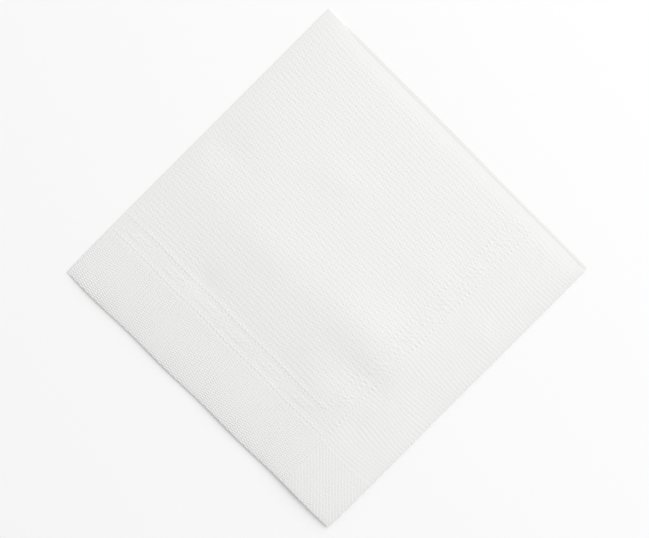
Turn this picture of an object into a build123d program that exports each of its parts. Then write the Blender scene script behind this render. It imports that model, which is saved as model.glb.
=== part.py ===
from build123d import *
import os
from math import asin, atan, cos, degrees, hypot, sin

# A paper napkin: one square tissue sheet, folded in half twice into a quarter-size square.
# The first fold lies along the +Y side, the second along the -X side; the other two are open edges.

# Folded sheet, in millimetres
folded_width = 127.0  # X, from the second fold to the open edge across from it
folded_depth = 127.0  # Y, from the first fold to the open edge across from it
leaf_thickness = 0.22  # one embossed leaf
pair_gap = 0.2  # air inside the first fold
stack_gap = 0.2  # air inside the second fold
open_lift = 1.1  # rise of the upper pair at the open edge across from the second fold
fold_skew = 1.2  # how far the upper first fold ends inside the lower one
leaf_stagger = 0.5  # how far the inner leaves end inside the outer ones
upper_reach = 0.4  # how much longer the upper pair is than the lower one

# Embossed border of the top leaf, in millimetres and degrees
margin_front = 20.6  # ribbed margin inside the -Y edge
margin_side = 21.8  # ribbed margin inside the +X edge
edge_land = 0.3  # plain strip around the ribs
fold_land = 2.5  # plain strip between the relief and a fold
rib_pitch = 1.37
rib_height = 0.14
valley_height = 0.04  # height of the valleys between ribs or beads
relief_root = 0.1  # depth to which the relief is rooted in the leaf
band_gap = 1.1  # from the margin to the outer bead row
band_width = 7.2  # from the outer bead row to the inner one
bead_pitch = 1.63
bead_length = 1.2
bead_height = 0.2
motif_pitch = 15.9  # from one rosette to the next, with slanted strokes halfway between
motif_start = 7.1  # from the other border's inner bead row to the first strokes
rosette_diameter = 3.8
rosette_beads = 6
rosette_bead_size = 0.95
rosette_bead_taper = 28.0
stroke_length = 4.2
stroke_width = 0.8
stroke_pitch = 1.9
stroke_angle = 135.0  # from the open edge, seen from the open corner
strokes_per_motif = 3

os.makedirs("parts", exist_ok=True)

# The second fold's axis lies above the lower pair, and its outside stands that far past the axis
axis_height = pair_gap + 2 * leaf_thickness + stack_gap / 2
lower_width = folded_width - axis_height
upper_width = lower_width + upper_reach


def pair_profile():
    """Section of two leaves joined by the first fold, with y across and z up."""
    inner = pair_gap / 2
    outer = inner + leaf_thickness
    bend = -outer
    outer_end = -folded_depth
    inner_end = leaf_stagger - folded_depth
    edges = [
        Polyline((bend, 0), (outer_end, 0), (outer_end, leaf_thickness), (bend, leaf_thickness)),
        CenterArc((bend, outer), inner, -90, 180),
        Polyline(
            (bend, outer + inner), (inner_end, outer + inner), (inner_end, 2 * outer), (bend, 2 * outer)
        ),
        CenterArc((bend, outer), outer, -90, 180),
    ]
    return make_face(edges)


def ridged_pad(run, across, pitch, crest):
    """Slab with ridges that follow each other along X, facing down from z = 0."""
    count = max(1, round(run / pitch))
    step = run / count
    points = [(-run / 2, relief_root), (-run / 2, -valley_height)]
    for index in range(count):
        start = -run / 2 + index * step
        points.append((start + step / 2, -crest))
        points.append((start + step, -valley_height))
    points.append((run / 2, relief_root))
    section = Plane.XZ * make_face(Polyline(*points, close=True))
    return extrude(section, amount=across / 2, both=True)


def rosette():
    """Ring of small square beads around one in the middle, facing down from z = 0."""
    base = Rectangle(rosette_bead_size, rosette_bead_size)
    bead = extrude(base, amount=bead_height + relief_root, taper=rosette_bead_taper)
    bead = Pos(0, 0, relief_root) * Rot(180, 0, 0) * bead
    ring = PolarLocations(rosette_diameter / 2, rosette_beads)
    return [bead] + [place * bead for place in ring]


def strokes():
    """Slanted bars side by side, facing down from z = 0."""
    middle = (strokes_per_motif - 1) / 2
    bar = Rot(0, 0, stroke_angle - 90) * ridged_pad(stroke_width, stroke_length, stroke_width, bead_height)
    return [Pos((index - middle) * stroke_pitch, 0, 0) * bar for index in range(strokes_per_motif)]


def border(run, margin, far_margin):
    """Relief along one open edge, which lies on the X axis with the leaf at +Y.

    It starts at the open corner, at x = 0, and ends short of the fold at x = run.
    """
    last = run - fold_land
    first = far_margin
    middle = (first + last) / 2
    width = margin - 2 * edge_land
    pieces = [Pos(middle, margin / 2, 0) * ridged_pad(last - first, width, rib_pitch, rib_height)]
    for inset in (band_gap, band_gap + band_width):
        first = far_margin + inset + bead_length
        middle = (first + last) / 2
        row = ridged_pad(last - first, bead_length, bead_pitch, bead_height)
        pieces.append(Pos(middle, margin + inset, 0) * row)
    motifs = (strokes(), rosette())
    step = motif_pitch / len(motifs)
    first = far_margin + band_gap + band_width + motif_start
    for index in range(round((last - first) / step)):
        place = Pos(first + index * step, margin + band_gap + band_width / 2, 0)
        pieces += [place * piece for piece in motifs[index % len(motifs)]]
    return pieces


def corner_ribs():
    """Ribs along the diagonal of the open corner, which lies at the origin with the leaf at +X, +Y."""
    reach = 2 * hypot(margin_side, margin_front)
    diagonal = Rot(0, 0, -45) * ridged_pad(reach, reach, rib_pitch, rib_height)
    across = margin_side - 2 * edge_land
    deep = margin_front - 2 * edge_land
    window = Pos(margin_side / 2, margin_front / 2, 0) * Box(across, deep, 2 * (rib_height + relief_root))
    return diagonal & window


def relief():
    """All the relief of the top leaf as it lies flat and face down, before the second fold."""
    front = border(upper_width, margin_front, margin_side)
    side = border(folded_depth, margin_side, margin_front)
    side = [Rot(0, 0, -90) * mirror(piece, about=Plane.YZ) for piece in side]
    open_corner = Pos(-upper_width, -folded_depth, 0)
    return [open_corner * piece for piece in front + side + [corner_ribs()]]


# The sheet after its first fold: one long pair of leaves
flat_pair = extrude(Plane.YZ * pair_profile(), amount=lower_width + upper_width)
flat_pair = Pos(-upper_width, 0, 0) * flat_pair

# The second fold's axis runs a little askew, and the upper pair turns about it
skew = asin(fold_skew / upper_width) / 2
crease = Axis((0, 0, axis_height), (sin(skew), cos(skew), 0))
crease_plane = Plane((0, 0, 0), x_dir=(0, 0, 1), z_dir=(cos(skew), -sin(skew), 0))
turn = 180 - degrees(atan(open_lift / upper_width))

lower_pair = split(flat_pair, bisect_by=crease_plane, keep=Keep.TOP)
upper_pair = split(flat_pair, bisect_by=crease_plane, keep=Keep.BOTTOM)
crease_section = lower_pair.faces().sort_by(Axis.X)[0]
second_fold = revolve(crease_section, axis=crease, revolution_arc=turn)
upper_pair = (upper_pair + relief()).rotate(crease, turn)

napkin = lower_pair + second_fold + upper_pair
box = napkin.bounding_box()
napkin = Pos(-box.center().X, -box.center().Y, -box.min.Z) * napkin
export_step(napkin, "parts/napkin.step")
print("solids", len(napkin.solids()), "volume", round(napkin.volume, 1), "size", napkin.bounding_box().size)
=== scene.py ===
# %% [markdown]
# # A paper napkin, folded twice
#
# A cocktail napkin is one square of embossed tissue, folded in half and then in half again.
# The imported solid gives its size, its place and its four leaves.
# This lesson puts a soft sheet in the solid's place. It has the same two folds, but it is a
# little puffed and wavy, as tissue is, and its top leaf carries the whole pressed pattern.

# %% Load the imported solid
import math

import bpy
import numpy as np
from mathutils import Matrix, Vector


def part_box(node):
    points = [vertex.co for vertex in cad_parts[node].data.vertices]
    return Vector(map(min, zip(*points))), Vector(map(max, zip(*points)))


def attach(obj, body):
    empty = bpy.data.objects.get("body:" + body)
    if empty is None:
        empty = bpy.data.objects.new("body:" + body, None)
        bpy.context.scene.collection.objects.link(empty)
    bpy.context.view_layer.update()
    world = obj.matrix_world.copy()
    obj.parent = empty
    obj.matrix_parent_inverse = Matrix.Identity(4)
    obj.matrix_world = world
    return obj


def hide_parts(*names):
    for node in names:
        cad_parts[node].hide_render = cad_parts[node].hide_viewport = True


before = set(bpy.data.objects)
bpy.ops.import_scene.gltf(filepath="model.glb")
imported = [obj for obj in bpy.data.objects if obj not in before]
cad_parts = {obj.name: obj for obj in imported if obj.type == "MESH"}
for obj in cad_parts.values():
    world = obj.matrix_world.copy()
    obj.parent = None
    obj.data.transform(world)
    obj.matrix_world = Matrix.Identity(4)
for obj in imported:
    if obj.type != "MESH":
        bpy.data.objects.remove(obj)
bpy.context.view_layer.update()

mm = 0.001
low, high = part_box("napkin")
print("solid", [round(side / mm, 2) for side in high - low], "mm")

# %% [markdown]
# ## Camera
#
# The napkin was photographed from straight above, lying with one corner up in the picture.
# Turning the camera by 45 degrees, and not the napkin, leaves the sides of the square along the
# axes, where they are easy to measure. A long lens from far away keeps opposite sides parallel.

# %% Camera
image_width = 649
picture_width = 225.2 * mm
pixel = picture_width / image_width
# How far the napkin's middle lies from the picture's middle
centre_right = 3.5 * pixel
centre_down = 0.6 * pixel
camera_height = 1.6
sensor_width = 36.0
camera_turn = math.radians(45)

camera_data = bpy.data.cameras.new("camera")
camera_data.sensor_width = sensor_width
camera_data.lens = sensor_width * camera_height / picture_width
camera = bpy.data.objects.new("camera", camera_data)
image_right = np.array((math.cos(camera_turn), math.sin(camera_turn)))
image_up = np.array((-math.sin(camera_turn), math.cos(camera_turn)))
camera.location = (*(image_up * centre_down - image_right * centre_right), camera_height)
camera.rotation_euler = (0, 0, camera_turn)
bpy.context.collection.objects.link(camera)
bpy.context.scene.camera = camera
print("lens", round(camera_data.lens, 1), "mm, one pixel", round(pixel / mm, 3), "mm")

# %% [markdown]
# ## The two folds
#
# Paper bends but hardly stretches, so the folded napkin can be worked out from the flat sheet.
# A point of the sheet has two numbers: a, its distance from the second fold, and b, its distance
# from the first one. Each fold is a short half circle between two flat runs.
# Two formulas, one for each fold, then carry the whole square to its place. A cloth simulation
# could fold a sheet too, but it would not give four leaves exactly where the solid has them.

# %% Sizes of the folded sheet
folded_width = 127.0 * mm
folded_depth = 127.0 * mm
leaf_stagger = 0.5 * mm
upper_reach = 0.4 * mm
leaf_thickness = 0.14 * mm
# A fold presses the tissue thinner than the solid's leaves, which have room for their relief
fold_thickness = 0.06 * mm
fold_gap = 0.02 * mm
# Where the outsides of the two folds cross
outside_x = -64.2 * mm
outside_y = 64.3 * mm

# The second fold's axis lies on two leaves, the gap in their fold and half the gap to the next pair
axis_height = 2 * fold_thickness + 1.5 * fold_gap
lower_width = folded_width - axis_height
upper_width = lower_width + upper_reach
folds_cross = (axis_height + outside_x, outside_y)

first_radius = (fold_gap + fold_thickness) / 2
first_outside = first_radius + fold_thickness / 2
first_half = first_radius * math.pi / 2
second_half = (axis_height - fold_thickness / 2) * math.pi / 2

sheet_depth = folded_depth - first_outside + first_half
inner_depth = sheet_depth - leaf_stagger
sheet_upper = upper_width + second_half
sheet_lower = lower_width + second_half
sheet_side = 2 * folded_width
flat_size = (sheet_upper + sheet_lower, 2 * sheet_depth)
print("flat sheet", [round(side / mm, 1) for side in flat_size], "mm")


# %% Carry the flat sheet through both folds
def folded(a, b, offset):
    """Place of sheet point (a, b) on the face that lies at offset outside the leaf's middle.

    First fold: a half circle of first_radius about a line at y = -first_outside, with a straight
    run on both sides of it. Second fold: a half circle about a line at axis_height, where each
    point keeps its own distance from that line, with a straight run on both sides of it.
    """
    bend = np.clip(b / first_radius, -math.pi / 2, math.pi / 2)
    run = np.maximum(np.abs(b) - first_half, 0)
    y = -first_outside + (first_radius + offset) * np.cos(bend) - run
    rise = first_outside + (first_radius + offset) * np.sin(bend)
    turn = np.clip((a / second_half + 1) * math.pi / 2, 0, math.pi)
    run = np.maximum(np.abs(a) - second_half, 0)
    x = run - (axis_height - rise) * np.sin(turn)
    z = axis_height - (axis_height - rise) * np.cos(turn)
    return np.stack((x, y, z), axis=-1)


# %% [markdown]
# ## How the napkin settles
#
# Folded tissue doesn't lie dead flat. The upper leaves bulge to a low roof, sink towards the folds
# and droop at the open front edge, which is wavy and stands higher towards its two ends.
# The top leaf also has a few soft dents and swells.
# A cloth simulation would find forms of this kind, but not these ones, so each is a formula with
# a height and a reach. All of them are heights of the top leaf over the flat stack. A leaf lower
# down takes the share that its level gives it, so no leaf cuts through another and the lowest
# one stays on the table.

# %% The roof
roof_height = 2.35 * mm
roof_ridge = 73.0 * mm
roof_softness = 0.12
roof_end_power = 3


def roof(x, y):
    """A ridge along x that falls evenly to both sides, rounded at its top by a hyperbola.

    Towards the two ends of x it gets lower, with a power of the distance from the middle.
    """
    across = y - roof_ridge
    side = np.where(across < 0, roof_ridge, folded_depth - roof_ridge)
    rounded = np.hypot(across / side, roof_softness) - roof_softness
    fall = rounded / (math.hypot(1, roof_softness) - roof_softness)
    return roof_height * (1 - fall) * (1 - np.abs(2 * x / upper_width - 1) ** roof_end_power)


print("roof", round(float(roof(upper_width / 2, roof_ridge)) / mm, 2), "mm high")

# %% Dents and swells
# Place (x, y), reach along x and y, and height of each dent or swell, in millimetres
soft_forms = (
    (-53, 6, 6, 5, -0.30),
    (-20, 26, 7, 5, 0.22),
    (24, -5, 13, 7, 0.55),
    (34, -18, 8, 4, -0.28),
    (26, 25, 5, 4, 0.12),
    (54, 22, 5, 4, 0.12),
    (-28, -32, 3, 3, -0.16),
    (13, -34, 8, 5, -0.25),
    (28, -31, 6, 4, 0.15),
    (46, -31, 4, 4, -0.18),
    (-18, -8, 10, 6, 0.20),
    (-46, -67, 13, 6, -0.20),
    (8, -43, 22, 5, -0.20),
    (-20, -32, 14, 4, -0.18),
    (52, -8, 9, 8, -0.30),
)
print("dents and swells", len(soft_forms))

# %% Height of the top leaf
puff_height = 0.30 * mm
first_fold_reach = 4.0 * mm
second_fold_reach = 6.0 * mm
side_reach = 2.5 * mm
corner_lift = 0.20 * mm
front_droop = 0.08 * mm
front_reach = 0.8 * mm
end_lift = 0.45 * mm
end_lift_reach = 35.0 * mm
wave_height = 0.15 * mm
wave_length = 35.0 * mm
wave_lag = 1.0
wave_reach = 9.0 * mm


def rising(distance, reach):
    """Rise from 0 at an edge or fold to 1, most of it within the reach."""
    return 1 - np.exp(-np.maximum(distance, 0) / reach)


def top_lift(x, y):
    """Height over the flat stack, with x from the second fold's axis and y from the first fold.

    It is a puff that rises from the folds and the side edge, plus the roof, a rise to the open
    corner, a droop at the front edge, a parabola that lifts the front's two ends, a sine along the
    front and a bell curve for each dent or swell. What belongs to the front fades away from it.
    """
    from_front = folded_depth - y
    from_side = upper_width - x
    puff = rising(y, first_fold_reach) * rising(x, second_fold_reach)
    puff = puff * rising(from_side, side_reach)
    height = puff_height * puff + roof(x, y)
    height += corner_lift * np.maximum(x, 0) / upper_width * y / folded_depth
    height -= front_droop * np.exp(-from_front / front_reach)
    ends = end_lift * (2 * x / upper_width - 1) ** 2 * rising(x, second_fold_reach)
    ripple = wave_height * np.sin(2 * math.pi * x / wave_length + wave_lag) * x / upper_width
    height += ends * np.exp(-from_front / end_lift_reach) + ripple * np.exp(-from_front / wave_reach)
    for place_x, place_y, reach_x, reach_y, form_height in soft_forms:
        part_x = (x + folds_cross[0] - place_x * mm) / (reach_x * mm)
        part_y = (folds_cross[1] - y - place_y * mm) / (reach_y * mm)
        height += form_height * mm * np.exp(-(part_x**2 + part_y**2) / 2)
    return np.maximum(height, 0)


# %% [markdown]
# ## Outline from above
#
# The folds were not made quite square: the upper folded edge draws back from the lower one towards
# its end, and the corners are a little off. Each corner gets a small shift, which fades in
# straight lines to the others.
# The lower folded edge bulges over half its length, the second fold draws in at its end, and the
# front ripples. Small shifts of whole leaves keep the sheet in one piece, which trimming its
# outline would not.

# %% Shifts of the outline
# For each corner as (x, y): both folds, end of the first fold, open corner, end of the second fold
lower_shift = np.array(((0.4, 0.0), (0.3, -0.35), (-0.4, 0.15), (0.4, -0.6))) * mm
upper_shift = np.array(((0.4, 0.0), (0.2, -0.5), (-0.1, -0.45), (0.4, -2.0))) * mm
edge_step = 1.5 * mm
edge_step_start = 9.0 * mm
edge_step_reach = 6.0 * mm
edge_bulge = 0.15 * mm
edge_bulge_end = 76.0 * mm
edge_bulge_reach = 3.0 * mm
edge_fade = 20.0 * mm
end_draw = 0.42 * mm
end_reach = 14.0 * mm
front_ripple = 0.15 * mm
ripple_start = 14.0 * mm


def soft_step(distance, reach):
    """Logistic step from 0 to 1 about a distance of 0, where its slope is 1 to a reach."""
    return 1 / (1 + np.exp(-4 * distance / reach))


def plan_shift(x, y, level):
    """Shift along x and y: the corners' shifts, blended by the place in the square and the level.

    To these come a soft step in each folded edge of the first fold, a draw at the second fold's
    end and a cosine along the front edge, each fading with the distance from its own side.
    """
    s = np.clip(x / upper_width, 0, 1)[..., None]
    t = np.clip(y / folded_depth, 0, 1)[..., None]
    corners = [
        low_corner + level[..., None] * (high_corner - low_corner)
        for low_corner, high_corner in zip(lower_shift, upper_shift)
    ]
    fold_side = (1 - s) * corners[0] + s * corners[1]
    open_side = (1 - s) * corners[3] + s * corners[2]
    shift = (1 - t) * fold_side + t * open_side
    from_front = folded_depth - y
    drawn_back = edge_step * level * soft_step(x - edge_step_start, edge_step_reach)
    bulged = edge_bulge * (1 - level) * soft_step(edge_bulge_end - x, edge_bulge_reach)
    shift[..., 1] += (bulged - drawn_back) * np.exp(-y / edge_fade)
    ripple = front_ripple * level * np.cos(2 * math.pi * (x - ripple_start) / wave_length)
    shift[..., 1] -= ripple * np.exp(-from_front / wave_reach)
    shift[..., 0] += end_draw * (1 - s[..., 0]) * np.exp(-from_front / end_reach)
    return shift


# %% The sheet at rest
# The lift goes with the square of a leaf's level, and this share parts the two lowest leaves
least_share = 1 / 9


def settled(a, b, face, relief=0.0):
    """Final place of sheet point (a, b) on the outer face, 1, or the inner face, -1.

    It is the folded place, plus relief on its face, the lift and the shift. The leaf is thin at the
    folds, and where the lift leaves room between the leaves it comes to its full thickness.
    """
    middle = folded(a, b, 0.0)
    x = middle[..., 0]
    y = -middle[..., 1]
    level = (middle[..., 2] - fold_thickness / 2) / (2 * axis_height - fold_thickness)
    level = np.clip(level, 0, 1)
    lift = top_lift(x, y)
    thickness = np.minimum(leaf_thickness, fold_thickness + lift * least_share)
    point = folded(a, b, face * thickness / 2 + relief)
    point[..., 2] += lift * level**2 + (thickness - fold_thickness) / 2
    point[..., :2] += plan_shift(x, y, level) + np.array(folds_cross)
    return point


middle_point = settled(np.full(1, sheet_upper / 2), np.full(1, -sheet_depth / 2), 1)[0]
print("top leaf's middle", np.round(middle_point / mm, 2), "mm")

# %% [markdown]
# ## The pressed pattern
#
# A steel roller presses the pattern into the tissue: staggered dashes over the middle, two rows of
# beads with rosettes and slanted strokes between them, and a margin of fine bent ribs along the
# open edges, which run along the diagonal in the open corner.
# It could be bump in the material, but pressed paper has real height, which also shows in the
# mesh. So the pattern is worked out as a height over the sheet, from the distances to its two open
# edges. The functions use only plain arithmetic, sines and cosines where they can, because the
# material needs the same rows once more.


# %% Ridges and masks
mask_soft = 0.4 * mm


def wave(distance, pitch):
    """Cosine ridges from 0 to 1, one to each pitch."""
    return 0.5 + 0.5 * np.cos(distance * (2 * math.pi / pitch))


def mound(distance, width):
    """One rounded ridge of height 1, a squared cosine that ends at half a width on both sides."""
    crest = np.cos(np.minimum(np.abs(distance) / width, 0.5) * math.pi)
    return crest * crest


def inside(distance):
    """Soft step from 0 to 1 where a distance passes 0."""
    return np.minimum(np.maximum(distance / mask_soft + 0.5, 0), 1)


def from_nearest(distance, pitch):
    """Distance from the nearest whole pitch, to either side."""
    return (distance + pitch / 2) % pitch - pitch / 2


# %% Ribs of the margins
margin_front = 20.6 * mm
margin_side = 21.8 * mm
rib_pitch = 1.37 * mm
rib_height = 0.06 * mm
rib_bend = 0.4 * mm
rib_bend_length = 31.0 * mm
rib_bend_push = 2
corner_pitch = 1.1 * mm
corner_height = 0.08 * mm


def edge_ribs(along, across, margin, far_margin):
    """A margin of ribs square to one open edge, from the open corner's end on.

    They are cosine ridges, bent to and fro a little by a sine that is itself pushed by a sine.
    """
    turn = 2 * math.pi / rib_bend_length
    bent = along + rib_bend * np.sin(across * turn + rib_bend_push * np.sin(along * turn))
    return rib_height * wave(bent, rib_pitch) * inside(along - far_margin) * inside(margin - across)


def corner_ribs(from_side, from_front):
    """Cosine ridges along the diagonal of the open corner."""
    corner = inside(margin_side - from_side) * inside(margin_front - from_front)
    return corner_height * wave((from_side - from_front) / math.sqrt(2), corner_pitch) * corner


print("ribs to a side", round(folded_width / rib_pitch))

# %% Rows of beads
band_gap = 1.1 * mm
band_width = 7.2 * mm
bead_pitch = 1.63 * mm
bead_length = 1.2 * mm
bead_spread = 1.25 * mm
bead_stretch = 0.7
bead_height = 0.13 * mm
side_bead_share = 0.68


def beads(along, across):
    """A row of round mounds, one to each pitch, each stretched a little along the row."""
    from_bead = bead_stretch * from_nearest(along, bead_pitch)
    return bead_height * mound(np.sqrt(from_bead * from_bead + across * across), bead_spread)


def edge_beads(along, across, margin, far_margin):
    """Two rows of beads along one open edge, mitred towards the open corner."""
    past_margin = across - margin
    from_row = np.abs(past_margin - band_gap - band_width / 2) - band_width / 2
    return beads(along, from_row) * inside(along - far_margin - past_margin)


def both_edges(rows, from_side, from_front, side_share=1):
    """The same rows along the front edge and, at a share of their height, along the side edge."""
    front = rows(from_side, from_front, margin_front, margin_side)
    return front + side_share * rows(from_front, from_side, margin_side, margin_front)


print("beads to a side", round(folded_width / bead_pitch))

# %% Dashes of the middle
lens_length = 3.28 * mm
lens_row = 1.765 * mm
lens_height = 0.013 * mm
dash_share = 1.95
dash_rate = 1.5
dash_lag = 0.4


def lenses(along, across):
    """Rows of ridges along x, cut into dashes, with every second row's shifted by half a length.

    A sine across the rows, plus one of two thirds its length that changes its sign along x.
    """
    turn = 2 * math.pi / lens_row
    rows = np.sin(across * turn - dash_lag)
    dashes = np.cos(along * (2 * math.pi / lens_length)) * np.sin(across * (dash_rate * turn))
    field = inside(along - margin_side) * inside(across - margin_front)
    return (rows + dash_share * dashes) * (-lens_height * field)


print("rows of dashes", round((folded_depth - margin_front) / lens_row))

# %% Rosettes and strokes
motif_pitch = 15.9 * mm
motif_start = 7.1 * mm
rosette_diameter = 3.8 * mm
rosette_beads = 6
rosette_bead_size = 0.95 * mm
rosette_height = 0.15 * mm
stroke_length = 4.2 * mm
stroke_width = 0.8 * mm
stroke_pitch = 1.9 * mm
stroke_height = 0.10 * mm
stroke_angle = math.radians(135)
strokes_per_motif = 3
# The rounded mounds run out further than the solid's straight sides
figure_spread = 1.5


def rosettes(along, across):
    """A round mound with a ring of like ones, halfway between two whole motif pitches."""
    from_rosette = along % motif_pitch - motif_pitch / 2
    bead_width = figure_spread * rosette_bead_size
    shape = mound(np.hypot(from_rosette, across), bead_width)
    for turn in np.arange(rosette_beads) * 2 * math.pi / rosette_beads:
        bead_x = from_rosette - rosette_diameter / 2 * math.cos(turn)
        bead_y = across - rosette_diameter / 2 * math.sin(turn)
        shape = np.maximum(shape, mound(np.hypot(bead_x, bead_y), bead_width))
    return shape


def strokes(along, across):
    """Slanted mounds side by side at every motif pitch, in turned coordinates of their own."""
    from_strokes = from_nearest(along, motif_pitch)
    shape = np.zeros_like(from_strokes)
    for index in np.arange(strokes_per_motif) - (strokes_per_motif - 1) / 2:
        part = from_strokes - index * stroke_pitch
        length = part * math.cos(stroke_angle) + across * math.sin(stroke_angle)
        width = across * math.cos(stroke_angle) - part * math.sin(stroke_angle)
        bar = mound(width, figure_spread * stroke_width)
        shape = np.maximum(shape, bar * inside(stroke_length / 2 - np.abs(length)))
    return shape


def figure_band(along, across, margin, far_margin):
    """The figures between the two rows of beads, from the other edge's inner row on."""
    past_row = along - far_margin - band_gap - band_width
    start = past_row - motif_start
    from_middle = across - margin - band_gap - band_width / 2
    figures = rosette_height * rosettes(start, from_middle)
    figures = figures + stroke_height * strokes(start, from_middle)
    return figures * inside(past_row - bead_length)


figure_run = folded_width - margin_side - band_gap - band_width - motif_start
print("rosettes to a side", round(figure_run / motif_pitch))

# %% [markdown]
# ## How the paper takes the pattern
#
# The tissue stretches a little under the roller, so its rows waver and run a little askew, and some
# places take the pattern better than others. Random noise would do this too, but slow sines of the
# place, each pushed to and fro by another, are as uneven and give the same sheet in every run.

# %% Wavering rows
waver = 0.15 * mm
waver_length = 23.0 * mm
waver_push = 1.3
side_push_rate = 0.5
front_waver_rate = 0.8
front_push_rate = 0.7
press_skew = 0.0055
press_pivot = 95.0 * mm


def wavered(from_side, from_front):
    """Both distances, each shifted by a slow sine of the other one that is pushed by a sine.

    The rows also run a little askew to the front edge, turned about a point of it.
    """
    turn = 2 * math.pi / waver_length
    side_push = waver_push * np.sin(from_side * (turn * side_push_rate))
    front_push = waver_push * np.sin(from_front * (turn * front_push_rate))
    side_waver = np.sin(from_front * turn + side_push)
    front_waver = np.sin(from_side * (turn * front_waver_rate) + front_push)
    skew = press_skew * (press_pivot - from_side)
    return from_side + waver * side_waver, from_front + skew + waver * front_waver


# %% The whole pattern
unevenness = 0.45
uneven_length = 14.0 * mm
uneven_push = 2
side_push_slow = 3
front_push_slow = 2
uneven_front_rate = 0.8
fold_fade = 5.0 * mm


def pressed(a, b):
    """Height of the whole pattern on the top leaf: the sum of its rows and figures.

    A product of two slow sines makes it deeper and shallower, and it fades at the folds.
    """
    from_side, from_front = wavered(sheet_upper - a, sheet_depth + b)
    height = corner_ribs(from_side, from_front) + lenses(from_side, from_front)
    height += both_edges(edge_ribs, from_side, from_front)
    height += both_edges(edge_beads, from_side, from_front, side_bead_share)
    height += both_edges(figure_band, from_side, from_front)
    turn = 2 * math.pi / uneven_length
    side_push = uneven_push * np.sin(turn * b / side_push_slow)
    front_push = uneven_push * np.sin(turn * a / front_push_slow)
    strength = np.sin(turn * a + side_push) * np.sin(turn * b * uneven_front_rate + front_push)
    near_fold = np.minimum(a - second_half, -b - first_half)
    return height * (1 + unevenness * strength) * np.clip(near_fold / fold_fade, 0, 1)


# %% [markdown]
# ## The sheet's mesh
#
# The sheet is closed: an outer face, an inner face and a rim of the paper's thickness.
# One even grid for all of it would need millions of faces. Only the outside of the top leaf needs
# a fine grid, three lines to a rib. The rest is coarse, and rows of triangles sew the fine grid to
# the coarse one along the folds, and the outer face to the inner one at the rim.

# %% Grid lines on the flat sheet
leaf_cells = 40
fold_cells = 10
fine_step = rib_pitch / 3
grading = 0.93


def leaf_lines(start, fold_half, end):
    """Grid lines over one leaf, a fold and the next leaf.

    Over a leaf they are a blend of even steps and a cosine, closer towards the edge and the fold.
    """
    even = np.linspace(0, 1, leaf_cells + 1)
    graded = (1 - grading) * even + grading * (1 - np.cos(even * math.pi)) / 2
    first = -start + (start - fold_half) * graded
    bend = np.linspace(-fold_half, fold_half, fold_cells + 1)[1:-1]
    second = fold_half + (end - fold_half) * graded
    return np.concatenate((first, bend, second))


lines_a = leaf_lines(sheet_lower, second_half, sheet_upper)
lines_b = leaf_lines(sheet_depth, first_half, inner_depth)
fine_a = np.flip(np.arange(sheet_upper, second_half + fine_step, -fine_step))
fine_b = np.arange(-sheet_depth, -first_half - fine_step, fine_step)
count = len(lines_a)
print("coarse lines", count, "fine lines", len(fine_a), len(fine_b))


# %% Faces from grids and rows
def grid_faces(ids):
    """The cells of a grid of vertex numbers, each as its four corners in turn."""
    return np.stack((ids[:-1, :-1], ids[1:, :-1], ids[1:, 1:], ids[:-1, 1:]), axis=-1)


def sewn(fine, place, coarse):
    """Triangles between two rows of vertices, from each fine vertex's place in the coarse row.

    Each fine edge goes to the coarse vertex nearest to its middle, and each coarse edge goes to the
    fine vertex at which that nearest one changes.
    """
    nearest = np.floor((place[:-1] + place[1:]) / 2 + 0.5).astype(int)
    change = np.searchsorted(nearest, np.arange(1, len(coarse)))
    from_fine = np.stack((fine[:-1], fine[1:], coarse[nearest]), axis=-1)
    from_coarse = np.stack((coarse[:-1], fine[change], coarse[1:]), axis=-1)
    return np.concatenate((from_fine, from_coarse))


def around(ids):
    """Vertex numbers round the border of a grid, back to the first."""
    return np.concatenate((ids[:, 0], ids[-1, 1:], ids[-2::-1, -1], ids[0, -2::-1]))


# %% Points of the three grids
grid_a, grid_b = np.meshgrid(lines_a, lines_b, indexing="ij")
patch_a, patch_b = np.meshgrid(fine_a, fine_b, indexing="ij")
outer = settled(grid_a, grid_b, 1)
inner = settled(grid_a, grid_b, -1)
patch = settled(patch_a, patch_b, 1, pressed(patch_a, patch_b))

outer_ids = np.arange(count * count).reshape(count, count)
inner_ids = outer_ids + outer_ids.size
patch_ids = np.arange(patch_a.size).reshape(patch_a.shape) + 2 * outer_ids.size
print("top leaf rises to", round(float(patch[..., 2].max()) / mm, 2), "mm")

# %% Seam along the folds, where the fine grid takes the place of coarse cells
past_fold = leaf_cells + fold_cells
kept_cell = np.ones((count - 1, count - 1), bool)
kept_cell[past_fold:, :leaf_cells] = False

place_a = np.interp(fine_a, lines_a, np.arange(count))
place_b = np.interp(fine_b, lines_b, np.arange(count))
seam_fine = np.concatenate((patch_ids[0, :], patch_ids[1:, -1]))
seam_place = np.concatenate((place_b, place_a[1:] - past_fold + leaf_cells))
seam_coarse = np.concatenate(
    (outer_ids[past_fold, : leaf_cells + 1], outer_ids[past_fold + 1 :, leaf_cells])
)
print("seam", len(seam_fine), "fine and", len(seam_coarse), "coarse points")

# %% Rim round the sheet, from the corner of the lowest leaf
span = count - 1
rim_fine = np.concatenate(
    (
        outer_ids[: past_fold + 1, 0],
        patch_ids[:, 0],
        patch_ids[-1, 1:],
        outer_ids[-1, leaf_cells:],
        outer_ids[-2::-1, -1],
        outer_ids[0, -2::-1],
    )
)
rim_place = np.concatenate(
    (
        np.arange(past_fold + 1),
        place_a,
        span + place_b[1:],
        span + np.arange(leaf_cells, count),
        2 * span + np.arange(1, count),
        3 * span + np.arange(1, count),
    )
)
print("rim", len(rim_fine), "points")

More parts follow.
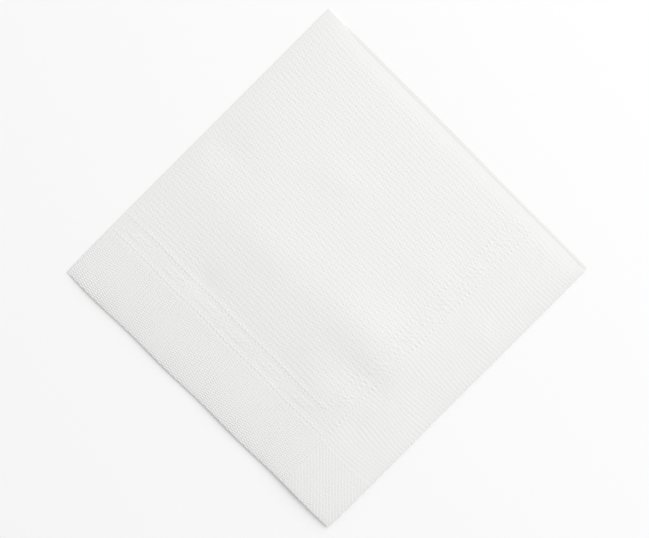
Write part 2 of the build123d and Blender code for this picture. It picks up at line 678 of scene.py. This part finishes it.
# %% All the faces
quads = np.concatenate(
    (
        grid_faces(outer_ids)[kept_cell],
        grid_faces(inner_ids)[..., ::-1].reshape(-1, 4),
        grid_faces(patch_ids).reshape(-1, 4),
    )
)
triangles = np.concatenate(
    (
        sewn(seam_fine, seam_place, seam_coarse),
        sewn(rim_fine, rim_place, around(inner_ids))[:, ::-1],
    )
)
in_all = 2 * len(quads) + len(triangles)
print("quads", len(quads), "triangles", len(triangles), "in all", in_all)

# %% Put them into a mesh
sharp_angle = math.radians(50)

all_points = np.concatenate((outer.reshape(-1, 3), inner.reshape(-1, 3), patch.reshape(-1, 3)))
all_a = np.concatenate((grid_a.ravel(), grid_a.ravel(), patch_a.ravel()))
all_b = np.concatenate((grid_b.ravel(), grid_b.ravel(), patch_b.ravel()))
corners = np.concatenate((quads.ravel(), triangles.ravel()))
used, corners = np.unique(corners, return_inverse=True)
points = all_points[used]
flat_place = np.stack((all_a[used] / sheet_side, all_b[used] / sheet_side), axis=-1) + 0.5

sizes = np.concatenate((np.full(len(quads), 4), np.full(len(triangles), 3)))
mesh = bpy.data.meshes.new("napkin_sheet")
mesh.vertices.add(len(points))
mesh.vertices.foreach_set("co", points.ravel())
mesh.loops.add(len(corners))
mesh.loops.foreach_set("vertex_index", corners)
mesh.polygons.add(len(sizes))
mesh.polygons.foreach_set("loop_start", np.concatenate(((0,), np.cumsum(sizes)[:-1])))
mesh.polygons.foreach_set("use_smooth", np.ones(len(sizes), bool))
mesh.uv_layers.new(name="flat_sheet").data.foreach_set("uv", flat_place[corners].ravel())
mesh.update(calc_edges=True)
print("mesh had to be mended:", mesh.validate())
mesh.set_sharp_from_angle(angle=sharp_angle)

# %% Hand the sheet to the frame
napkin = bpy.data.objects.new("napkin_sheet", mesh)
bpy.context.collection.objects.link(napkin)
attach(napkin, "root")
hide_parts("napkin")
print("sheet", len(mesh.vertices), "vertices", len(mesh.polygons), "faces")


# %% [markdown]
# ## Tissue
#
# Napkin tissue is bleached pulp: almost white, fully matt, and faintly cloudy and specked where the
# fibres lie thicker. A picture of paper could be laid over it, but shader nodes need no file, and
# here they read the sheet's flat coordinates, so the finish follows the paper through the folds.
# A small class wraps a socket, so that an expression adds the nodes. It answers numpy's functions
# too, which lets the formulas of the pressed rows serve in the material.

# %% A socket to calculate with
class Wire(np.lib.mixins.NDArrayOperatorsMixin):
    """An output of a node. Operators, also reflected, and numpy's functions add Math nodes."""

    operations = {
        np.add: "ADD",
        np.subtract: "SUBTRACT",
        np.multiply: "MULTIPLY",
        np.divide: "DIVIDE",
        np.remainder: "FLOORED_MODULO",
        np.power: "POWER",
        np.minimum: "MINIMUM",
        np.maximum: "MAXIMUM",
        np.absolute: "ABSOLUTE",
        np.floor: "FLOOR",
        np.sqrt: "SQRT",
        np.sin: "SINE",
        np.cos: "COSINE",
    }

    def __init__(self, tree, socket=None):
        self.tree = tree
        self.socket = socket

    def add(self, kind, settings=None, sockets=None, output=0):
        """A new node of any type: its settings are set first, then its sockets' values or links."""
        node = self.tree.nodes.new(kind)
        for name, value in (settings or {}).items():
            setattr(node, name, value)
        for key, value in (sockets or {}).items():
            if isinstance(value, Wire):
                self.tree.links.new(value.socket, node.inputs[key])
            else:
                node.inputs[key].default_value = value
        return Wire(self.tree, node.outputs[output] if len(node.outputs) else None)

    def __array_ufunc__(self, function, method, *values):
        """The Math node for a numpy function or an operator, fed with wires and numbers."""
        settings = {"operation": self.operations[function]}
        return self.add("ShaderNodeMath", settings, dict(enumerate(values)))


def new_material(name):
    """An empty node material, with a wire to its tree."""
    material = bpy.data.materials.new(name)
    material.use_nodes = True
    material.node_tree.nodes.clear()
    return material, Wire(material.node_tree)


# %% Place on the flat sheet
tissue, tree = new_material("tissue")
place = tree.add("ShaderNodeUVMap", {"uv_map": "flat_sheet"})
side_place = tree.add("ShaderNodeSeparateXYZ", None, {0: place}, output="X")
front_place = tree.add("ShaderNodeSeparateXYZ", None, {0: place}, output="Y")
from_second = abs(side_place - 0.5) * sheet_side
from_first = abs(front_place - 0.5) * sheet_side
from_side = sheet_upper - from_second
from_front = sheet_depth - from_first
print("place", len(tissue.node_tree.nodes), "nodes")

# %% Clouds and specks of the pulp
tissue_light = (0.896, 0.896, 0.891, 1)
tissue_dark = (0.836, 0.836, 0.828, 1)
cloud_scale = 130.0 * sheet_side
cloud_detail = 3.0
fibre_scale = 1400.0 * sheet_side
fibre_detail = 4.0
speck_stretch = (1.0, 0.5, 1.0)
speck_share = 0.6


def noise(vector, scale, detail):
    """Noise from 0 to 1 over the sheet."""
    sockets = {"Vector": vector, "Scale": scale, "Detail": detail}
    return vector.add("ShaderNodeTexNoise", None, sockets)


def fine_noise(stretch):
    """Noise as fine as the fibres, drawn out along the sheet where a stretch is below 1."""
    settings = {"operation": "MULTIPLY"}
    drawn_out = place.add("ShaderNodeVectorMath", settings, {0: place, 1: stretch})
    return noise(drawn_out, fibre_scale, fibre_detail)


def blended(share, first, second):
    """The first colour where a share is 0 and the second one where it is 1."""
    sockets = {0: share, 6: first, 7: second}
    return share.add("ShaderNodeMix", {"data_type": "RGBA"}, sockets, output=2)


clouds = noise(place, cloud_scale, cloud_detail)
specks = fine_noise(speck_stretch)
pulp = clouds * (1 - speck_share) + specks * speck_share
pulp_colour = blended(pulp, tissue_dark, tissue_light)
print("pulp", len(tissue.node_tree.nodes), "nodes")

# %% [markdown]
# ## Painted shade at the edges and folds
#
# The last millimetres at the open edges get painted shade: their colour turns a little greyer, and
# so does the paper along the first fold. The grey could be painted as vertex colours, but a share
# that halves with each reach away from an edge needs only the distance.

# %% Painted shade at the edges and folds
painted_shade_grey = (0.800, 0.800, 0.792, 1)
edge_share = 0.5
edge_reach = 1.5 * mm
fold_reach = 0.5 * mm
fold_start = 18.0 * mm
upper_share = 0.5

# Painted shade: the colour turns greyer towards the open edges, by a share that halves with each
# reach
painted_edge_shade = edge_share * 0.5 ** (np.minimum(from_side, from_front) / edge_reach)
# Painted shade along the first fold: greyer near it, fading out towards the second fold, at half
# strength on the upper pair
near_fold = 0.5 ** (from_first / fold_reach) * np.minimum(from_second / fold_start, 1)
fold_share = upper_share + (1 - upper_share) * inside((0.5 - side_place) * sheet_side)
colour = blended(np.maximum(painted_edge_shade, near_fold * fold_share), pulp_colour, painted_shade_grey)
print("edges", len(tissue.node_tree.nodes), "nodes")

# %% [markdown]
# ## Fine embossing
#
# The roller also leaves marks that are finer than the grid: notches across the ribs, dots between
# the dashes, and the crepe of the paper. They are bump, because as geometry they would need
# several times the faces. The rows of ribs, beads and dashes are in the bump too, at a share of
# their height: there they sharpen the top leaf's relief and carry the rows on over the other three
# leaves. Along the first fold the paper is crushed smooth, so all of it fades there.

# %% Notches across the ribs
notch_pitch = 0.82 * mm
notch_height = 0.048 * mm
corner_share = 0.55
front_press = 1.4
front_press_reach = 5.0 * mm


def notched(along, across, pitch):
    """Cosine notches across ribs of this pitch, where every second rib's shift by half a notch."""
    rib = np.floor(along / pitch + 0.5)
    return notch_height * wave(across + rib * (notch_pitch / 2), notch_pitch)


def notches(from_side, from_front):
    """Notched ribs in the front margin and, along the diagonal, in the open corner.

    They are deepest at the front edge, by a share that halves with each reach away from it.
    """
    past_corner = inside(from_side - margin_side)
    front = notched(from_side, from_front, rib_pitch) * past_corner
    slant = 1 / math.sqrt(2)
    across = (from_side - from_front) * slant
    along = (from_side + from_front) * slant
    corner = notched(across, along, corner_pitch) * (corner_share * (1 - past_corner))
    depth = 1 + front_press * 0.5 ** (from_front / front_press_reach)
    return (front + corner) * depth * inside(margin_front - from_front)


# %% Dots between the dashes
dot_height = 0.016 * mm
dot_lag = 1.9
stripe_height = 0.0106 * mm
stripe_lag = 2.4


def dots(along, across):
    """Fine dots between the dashes of the field, and faint stripes across the rows.

    A cosine along the rows, three to a dash's length, times a sine of two rows' length across them,
    and a sine along the rows, two to a dash's length.
    """
    turn = 2 * math.pi / lens_length
    spots = np.cos(along * (3 * turn)) * np.sin(across * (math.pi / lens_row) + dot_lag)
    stripes = np.sin(along * (2 * turn) - stripe_lag)
    field = inside(along - margin_side) * inside(across - margin_front)
    return (stripe_height * stripes - dot_height * spots) * field


# %% All rows as bump
rib_share = 0.15
corner_rib_share = 0.35
bead_share = 0.65
lens_share = 0.45

from_side, from_front = wavered(from_side, from_front)
rows = corner_rib_share * corner_ribs(from_side, from_front)
rows = rows + rib_share * both_edges(edge_ribs, from_side, from_front)
rows = rows + bead_share * both_edges(edge_beads, from_side, from_front, side_bead_share)
rows = rows + lens_share * lenses(from_side, from_front)
rows = rows + dots(from_side, from_front) + notches(from_side, from_front)
print("rows", len(tissue.node_tree.nodes), "nodes")

# %% Tissue shader
crepe_stretch = (0.8, 1.0, 1.0)
crepe_height = 0.10 * mm
least_press = 0.1
press_range = 1.8
smooth_roughness = 0.84
roughness_range = 0.14
tissue_specular = 0.15

fibres = fine_noise(crepe_stretch)
pressing = fibres * crepe_height + rows * (least_press + press_range * clouds)
pressing = pressing * np.minimum(from_first / fold_fade, 1)
# The heights are in metres, so the bump takes them as they are
bump = tree.add("ShaderNodeBump", None, {"Strength": 1.0, "Distance": 1.0, "Height": pressing})
shader = tree.add(
    "ShaderNodeBsdfPrincipled",
    None,
    {
        "Base Color": colour,
        "Roughness": smooth_roughness + fibres * roughness_range,
        "Specular IOR Level": tissue_specular,
        "Normal": bump,
    },
)
tree.add("ShaderNodeOutputMaterial", None, {"Surface": shader})
mesh.materials.append(tissue)
print("tissue", len(tissue.node_tree.nodes), "nodes")

# %% [markdown]
# ## Table and light
#
# A plain white table takes the soft shadow. The light is one large soft lamp beyond the first fold,
# near enough to fall off across the napkin, with an even white fill from all round.
# Several small lamps would light it too, but their shadows would be hard and crossed.
# Together they light the table at about 1, so colours render as they are written.

# %% Table
table_colour = (0.97, 0.97, 0.97, 1)
table_roughness = 0.9
table_specular = 0.1
table_half = 3.0
table_level = -0.02 * mm

table_material, tree = new_material("table_white")
shader = tree.add(
    "ShaderNodeBsdfPrincipled",
    None,
    {
        "Base Color": table_colour,
        "Roughness": table_roughness,
        "Specular IOR Level": table_specular,
    },
)
tree.add("ShaderNodeOutputMaterial", None, {"Surface": shader})

table_mesh = bpy.data.meshes.new("table")
square = np.array(((-1, -1, 0), (1, -1, 0), (1, 1, 0), (-1, 1, 0)), float) * table_half
square[:, 2] = table_level
table_mesh.from_pydata(square.tolist(), [], [(0, 1, 2, 3)])
table_mesh.materials.append(table_material)
table = bpy.data.objects.new("table", table_mesh)
bpy.context.collection.objects.link(table)
print("table", 2 * table_half, "m wide")

# %% Soft lamp
lamp_distance = 1.8
lamp_side = 2.0
lamp_power = 27.6
lamp_bearing = math.radians(79)
lamp_elevation = math.radians(32)

lamp_data = bpy.data.lights.new("soft_lamp", "AREA")
lamp_data.shape = "SQUARE"
lamp_data.size = lamp_side
lamp_data.energy = lamp_power
lamp = bpy.data.objects.new("soft_lamp", lamp_data)
lamp.location = (
    lamp_distance * math.cos(lamp_elevation) * math.cos(lamp_bearing),
    lamp_distance * math.cos(lamp_elevation) * math.sin(lamp_bearing),
    lamp_distance * math.sin(lamp_elevation),
)
lamp.rotation_euler = (math.pi / 2 - lamp_elevation, 0, lamp_bearing + math.pi / 2)
bpy.context.collection.objects.link(lamp)
print("lamp", lamp_power, "W")

# %% Fill and background
fill = 0.66
background = 0.95
white = (1, 1, 1, 1)

world = bpy.data.worlds.new("studio")
world.use_nodes = True
world.node_tree.nodes.clear()
tree = Wire(world.node_tree)
ray_kinds = ("Is Camera Ray", "Is Glossy Ray", "Is Transmission Ray")
seen = sum(tree.add("ShaderNodeLightPath", output=kind) for kind in ray_kinds)
shown = np.minimum(seen, 1)
strength = fill + shown * (background - fill)
sky = tree.add("ShaderNodeBackground", None, {"Color": white, "Strength": strength})
tree.add("ShaderNodeOutputWorld", None, {"Surface": sky})
bpy.context.scene.world = world
bpy.context.scene.view_settings.view_transform = "Standard"
print("fill", fill, "background", background)
